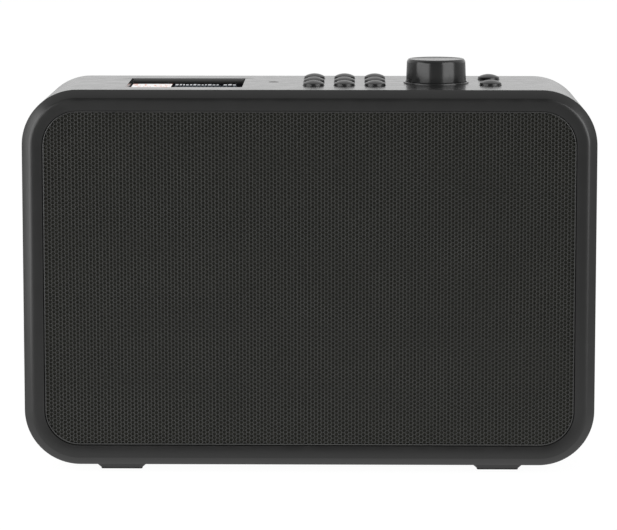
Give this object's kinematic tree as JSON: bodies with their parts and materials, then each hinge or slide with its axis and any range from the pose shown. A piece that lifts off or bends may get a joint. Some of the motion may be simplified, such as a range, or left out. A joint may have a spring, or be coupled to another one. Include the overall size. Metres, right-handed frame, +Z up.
{
  "type": "tabletop radio",
  "caption": "Tabletop radio: rounded dark case, perforated steel front, recessed display, round push buttons and a large knob on top.",
  "frame": {"origin": "middle of the whole radio's footprint, on the surface it stands on", "axes": "+X to the right seen from the front, +Y from the grille to the back, +Z up"},
  "size_m": [0.262, 0.0966, 0.1878],
  "materials": {
    "case_plastic": "dark grey moulded ABS with a satin face",
    "bezel_plastic": "dark grey moulded ABS, satin",
    "grille_steel": "black painted perforated steel, semi-matt",
    "cloth": "black acoustic cloth",
    "inner_plastic": "black moulded plastic",
    "screw_steel": "zinc plated steel",
    "foot_plastic": "dark grey moulded plastic",
    "foot_rubber": "black rubber",
    "display_glass": "clear lens with a black printed border",
    "display_panel": "colour display panel, lit",
    "sensor_plastic": "dark infra-red window",
    "chip_plastic": "black moulded epoxy",
    "knob_plastic": "dark grey glossy moulded plastic",
    "button_plastic": "dark grey satin moulded plastic",
    "socket_metal": "tin plated steel",
    "circuit_board": "green solder mask on glass fibre",
    "heat_sink_aluminium": "extruded, black anodised to bare",
    "capacitor_sleeve": "dark blue shrink sleeve",
    "socket_plastic": "black moulded plastic",
    "ribbon_plastic": "white ribbon cable",
    "lead_rubber": "red and black insulated lead",
    "surround_rubber": "butyl rubber roll",
    "driver_steel": "black painted pressed steel",
    "cone_paper": "black coated paper",
    "magnet_ferrite": "ferrite ring between plated steel plates",
    "antenna_chrome": "bright nickel and chrome plated brass tube"
  },
  "bodies": {
    "case": {"cabinet": "case_plastic", "front_bezel": "bezel_plastic", "rear_cover": "case_plastic", "bass_port": "case_plastic", "grille": "grille_steel", "speaker_cloth": "cloth", "speaker_baffle": "inner_plastic", "rear_cover_screws": "screw_steel", "board_screws": "screw_steel", "driver_screws": "screw_steel", "feet": "foot_plastic", "foot_pads": "foot_rubber", "display_lens": "display_glass", "display_module": "display_panel", "display_tray": "inner_plastic", "sensor_window": "sensor_plastic", "remote_receiver": "chip_plastic", "knob_ring": "knob_plastic", "encoder_body": "socket_metal", "encoder_nut": "socket_metal", "key_board": "circuit_board", "key_switches": "chip_plastic", "main_board": "circuit_board", "radio_module": "socket_metal", "heat_sink": "heat_sink_aluminium", "capacitors": "capacitor_sleeve", "dc_inlet": "socket_plastic", "aux_socket": "socket_plastic", "headphone_socket": "socket_plastic", "ribbon_cable": "ribbon_plastic", "speaker_leads": "lead_rubber", "driver_surrounds": "surround_rubber", "left_driver_frame": "driver_steel", "left_driver_magnet": "magnet_ferrite", "right_driver_frame": "driver_steel", "right_driver_magnet": "magnet_ferrite"},
    "preset_button_1": {"preset_button_1": "button_plastic"},
    "preset_button_2": {"preset_button_2": "button_plastic"},
    "preset_button_3": {"preset_button_3": "button_plastic"},
    "preset_button_4": {"preset_button_4": "button_plastic"},
    "preset_button_5": {"preset_button_5": "button_plastic"},
    "preset_button_6": {"preset_button_6": "button_plastic"},
    "preset_button_7": {"preset_button_7": "button_plastic"},
    "preset_button_8": {"preset_button_8": "button_plastic"},
    "preset_button_9": {"preset_button_9": "button_plastic"},
    "side_button_front": {"side_button_front": "button_plastic"},
    "side_button_rear": {"side_button_rear": "button_plastic"},
    "knob_plunger": {"encoder_plunger": "inner_plastic"},
    "knob": {"knob": "knob_plastic", "encoder_shaft": "screw_steel"},
    "left_cone": {"left_driver_cone": "cone_paper"},
    "right_cone": {"right_driver_cone": "cone_paper"},
    "antenna_swivel": {"antenna_base": "antenna_chrome"},
    "antenna_mast": {"antenna_section_1": "antenna_chrome"},
    "antenna_second": {"antenna_section_2": "antenna_chrome"},
    "antenna_third": {"antenna_section_3": "antenna_chrome"},
    "antenna_fourth": {"antenna_section_4": "antenna_chrome", "antenna_tip": "antenna_chrome"}
  },
  "joints": [
    {"name": "preset_button_1_press", "type": "slide", "parent": "case", "child": "preset_button_1", "axis": [0, -0.0142, -0.9999], "range_m": [0, 0.00045], "stiffness_N_per_m": 900, "springref_m": -0.0006},
    {"name": "preset_button_2_press", "type": "slide", "parent": "case", "child": "preset_button_2", "axis": [0, -0.0142, -0.9999], "range_m": [0, 0.00045], "stiffness_N_per_m": 900, "springref_m": -0.0006},
    {"name": "preset_button_3_press", "type": "slide", "parent": "case", "child": "preset_button_3", "axis": [0, -0.0142, -0.9999], "range_m": [0, 0.00045], "stiffness_N_per_m": 900, "springref_m": -0.0006},
    {"name": "preset_button_4_press", "type": "slide", "parent": "case", "child": "preset_button_4", "axis": [0, -0.0142, -0.9999], "range_m": [0, 0.00045], "stiffness_N_per_m": 900, "springref_m": -0.0006},
    {"name": "preset_button_5_press", "type": "slide", "parent": "case", "child": "preset_button_5", "axis": [0, -0.0142, -0.9999], "range_m": [0, 0.00045], "stiffness_N_per_m": 900, "springref_m": -0.0006},
    {"name": "preset_button_6_press", "type": "slide", "parent": "case", "child": "preset_button_6", "axis": [0, -0.0142, -0.9999], "range_m": [0, 0.00045], "stiffness_N_per_m": 900, "springref_m": -0.0006},
    {"name": "preset_button_7_press", "type": "slide", "parent": "case", "child": "preset_button_7", "axis": [0, -0.0142, -0.9999], "range_m": [0, 0.00045], "stiffness_N_per_m": 900, "springref_m": -0.0006},
    {"name": "preset_button_8_press", "type": "slide", "parent": "case", "child": "preset_button_8", "axis": [0, -0.0142, -0.9999], "range_m": [0, 0.00045], "stiffness_N_per_m": 900, "springref_m": -0.0006},
    {"name": "preset_button_9_press", "type": "slide", "parent": "case", "child": "preset_button_9", "axis": [0, -0.0142, -0.9999], "range_m": [0, 0.00045], "stiffness_N_per_m": 900, "springref_m": -0.0006},
    {"name": "side_button_front_press", "type": "slide", "parent": "case", "child": "side_button_front", "axis": [0, -0.0142, -0.9999], "range_m": [0, 0.00045], "stiffness_N_per_m": 900, "springref_m": -0.0006},
    {"name": "side_button_rear_press", "type": "slide", "parent": "case", "child": "side_button_rear", "axis": [0, -0.0142, -0.9999], "range_m": [0, 0.00045], "stiffness_N_per_m": 900, "springref_m": -0.0006},
    {"name": "knob_press", "type": "slide", "parent": "case", "child": "knob_plunger", "axis": [0, -0.0142, -0.9999], "range_m": [0, 0.0005], "stiffness_N_per_m": 1500, "springref_m": -0.0008},
    {"name": "knob_turn", "type": "hinge", "parent": "knob_plunger", "child": "knob", "pos_m": [0.0584, -0.00326, 0.17631], "axis": [0, -0.0142, -0.9999], "continuous": true},
    {"name": "left_cone_stroke", "type": "slide", "parent": "case", "child": "left_cone", "axis": [0, -1, 0], "range_m": [-0.001, 0.001], "stiffness_N_per_m": 1800},
    {"name": "right_cone_stroke", "type": "slide", "parent": "case", "child": "right_cone", "axis": [0, -1, 0], "range_m": [-0.001, 0.001], "stiffness_N_per_m": 1800},
    {"name": "antenna_turn", "type": "hinge", "parent": "case", "child": "antenna_swivel", "pos_m": [0.108, 0.04425, 0.148], "axis": [0, 1, 0], "range_deg": [0, 180]},
    {"name": "antenna_tilt", "type": "hinge", "parent": "antenna_swivel", "child": "antenna_mast", "pos_m": [0.108, 0.04425, 0.148], "axis": [0, 0, -1], "range_deg": [0, 90]},
    {"name": "antenna_pull_1", "type": "slide", "parent": "antenna_mast", "child": "antenna_second", "axis": [-1, 0, 0], "range_m": [0, 0.132]},
    {"name": "antenna_pull_2", "type": "slide", "parent": "antenna_second", "child": "antenna_third", "axis": [-1, 0, 0], "range_m": [0, 0.132]},
    {"name": "antenna_pull_3", "type": "slide", "parent": "antenna_third", "child": "antenna_fourth", "axis": [-1, 0, 0], "range_m": [0, 0.132]}
  ]
}
